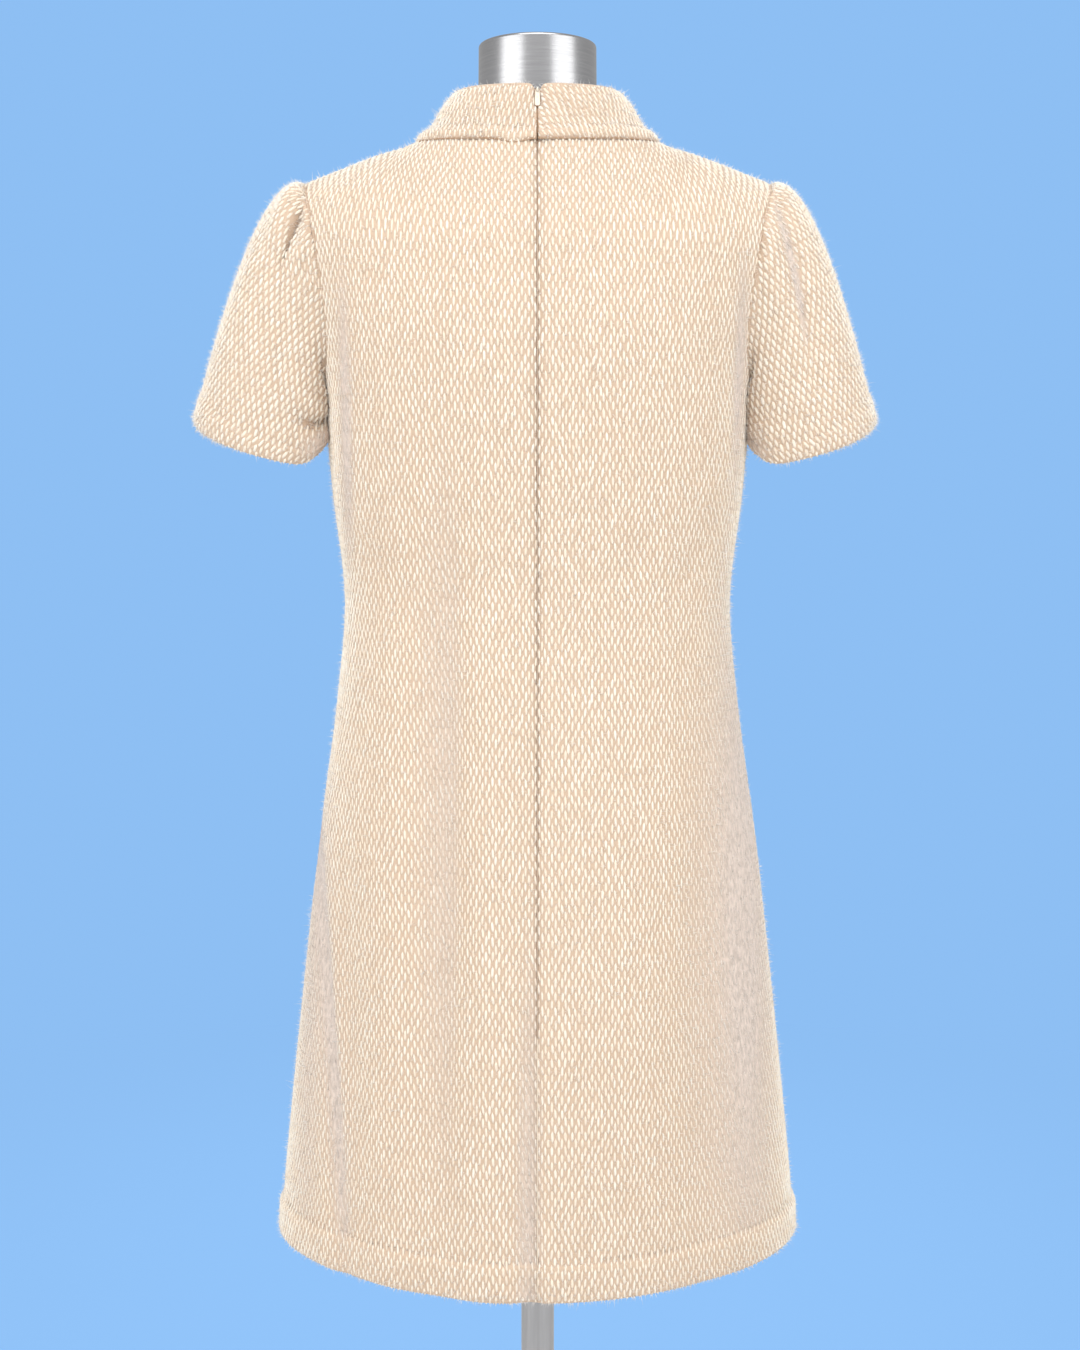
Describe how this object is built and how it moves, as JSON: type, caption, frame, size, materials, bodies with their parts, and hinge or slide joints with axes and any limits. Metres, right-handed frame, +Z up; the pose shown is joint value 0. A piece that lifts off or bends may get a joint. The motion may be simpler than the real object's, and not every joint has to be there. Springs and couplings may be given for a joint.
{
  "type": "shift dress on a limbless dress form",
  "caption": "A-line shift dress of thick tweed with puffed short sleeves, stand-away collar and back zip, on a dress form with neck cap, pole and round base.",
  "frame": {"origin": "middle of the base plate's underside, under the pole, at floor level", "axes": "+Z up, +Y to the wearer's front, +X to the wearer's right; the zip is at -Y"},
  "size_m": [0.5596, 0.36, 1.4965],
  "materials": {
    "tweed": "chunky cream and tan wool tweed with a soft nap",
    "zip_tape": "woven tape",
    "zip_enamel": "ivory enamel",
    "form_jersey": "stretched jersey cover",
    "brushed_steel": "brushed"
  },
  "bodies": {
    "root": {"front": "tweed", "back_left": "tweed", "back_right": "tweed", "sleeve_left": "tweed", "sleeve_right": "tweed", "collar": "tweed", "zip_tape_left": "zip_tape", "zip_tape_right": "zip_tape", "zip_slider": "zip_enamel", "form_torso": "form_jersey", "neck_cap": "brushed_steel", "pole": "brushed_steel", "base_plate": "brushed_steel"},
    "zip_pull": {"zip_pull": "zip_enamel"}
  },
  "joints": [
    {"name": "zip_pull_hinge", "type": "hinge", "parent": "root", "child": "zip_pull", "pos_m": [0, -0.06392, 1.4485], "axis": [-1, 0, 0], "range_deg": [0, 150]}
  ]
}
